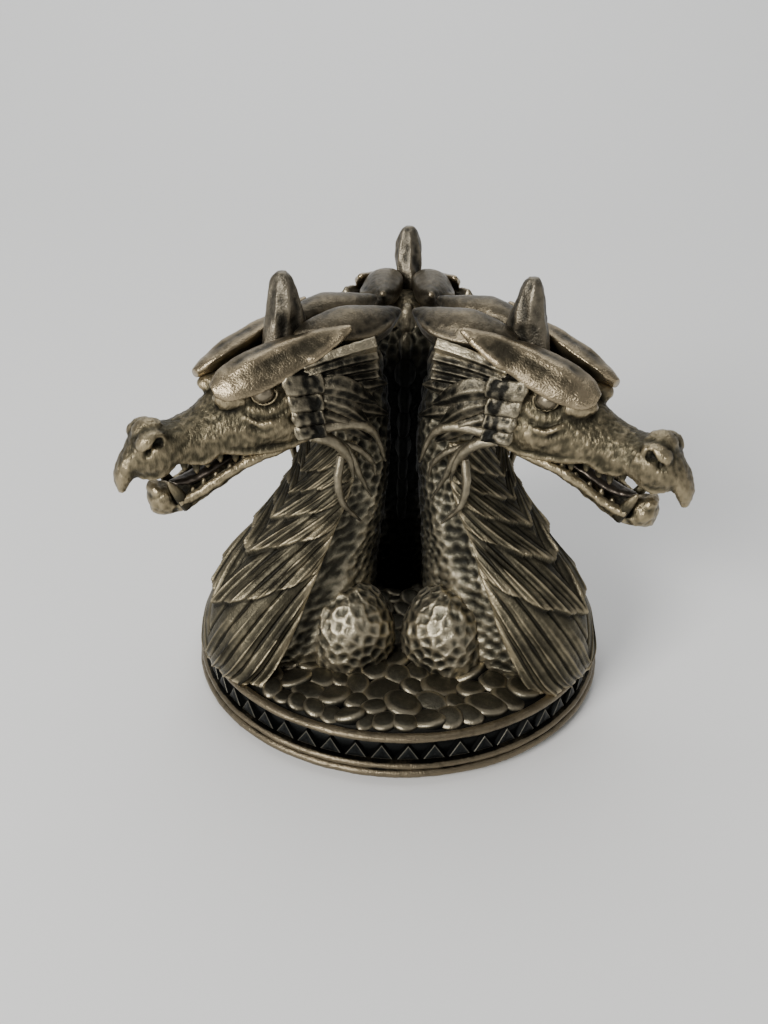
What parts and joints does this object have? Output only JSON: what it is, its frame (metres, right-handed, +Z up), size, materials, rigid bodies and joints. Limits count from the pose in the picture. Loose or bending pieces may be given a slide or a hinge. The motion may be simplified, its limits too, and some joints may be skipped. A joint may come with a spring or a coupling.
{
  "type": "dragon ornament stand",
  "caption": "Round pebbled plinth with dragon busts facing outwards at equal angles, in antiqued bronze, with a seat between the horns for a ball.",
  "frame": {"origin": "centre of the felt pad's underside, on the surface that the stand rests on", "axes": "+Z up along the stand's axis; one bust faces +Y, the other two face 210 and 330 degrees from +X, so the gap between them faces -Y"},
  "size_m": [0.103, 0.1037, 0.0895],
  "materials": {
    "antique_bronze": "bronze-filled casting, black patina in the recesses, rubbed bright on the ridges",
    "rubbed_bronze": "smooth brown-bronze plates, satin, worn brighter along the edges",
    "band_patina": "raised bronze triangles on a black-patinated band",
    "mouth_patina": "dark patina with a thin rub on top",
    "polished_eye": "smooth burnished ball",
    "felt": "black felt"
  },
  "bodies": {
    "root": {"base_plinth": "antique_bronze", "felt_pad": "felt", "left_brow_l": "rubbed_bronze", "left_brow_r": "rubbed_bronze", "left_crest_l": "rubbed_bronze", "left_crest_r": "rubbed_bronze", "left_dorsal_ridge": "antique_bronze", "left_eye_l": "polished_eye", "left_eye_r": "polished_eye", "left_frill_l": "antique_bronze", "left_frill_r": "antique_bronze", "left_haunch_l": "antique_bronze", "left_haunch_r": "antique_bronze", "left_horn": "antique_bronze", "left_jaw": "antique_bronze", "left_mantle": "antique_bronze", "left_neck": "antique_bronze", "left_skull": "antique_bronze", "left_tongue": "mouth_patina", "pebble_floor": "antique_bronze", "rear_brow_l": "rubbed_bronze", "rear_brow_r": "rubbed_bronze", "rear_crest_l": "rubbed_bronze", "rear_crest_r": "rubbed_bronze", "rear_dorsal_ridge": "antique_bronze", "rear_eye_l": "polished_eye", "rear_eye_r": "polished_eye", "rear_frill_l": "antique_bronze", "rear_frill_r": "antique_bronze", "rear_haunch_l": "antique_bronze", "rear_haunch_r": "antique_bronze", "rear_horn": "antique_bronze", "rear_jaw": "antique_bronze", "rear_mantle": "antique_bronze", "rear_neck": "antique_bronze", "rear_skull": "antique_bronze", "rear_tongue": "mouth_patina", "right_brow_l": "rubbed_bronze", "right_brow_r": "rubbed_bronze", "right_crest_l": "rubbed_bronze", "right_crest_r": "rubbed_bronze", "right_dorsal_ridge": "antique_bronze", "right_eye_l": "polished_eye", "right_eye_r": "polished_eye", "right_frill_l": "antique_bronze", "right_frill_r": "antique_bronze", "right_haunch_l": "antique_bronze", "right_haunch_r": "antique_bronze", "right_horn": "antique_bronze", "right_jaw": "antique_bronze", "right_mantle": "antique_bronze", "right_neck": "antique_bronze", "right_skull": "antique_bronze", "right_tongue": "mouth_patina", "rim_ring": "antique_bronze", "triangle_band": "band_patina"}
  },
  "joints": []
}
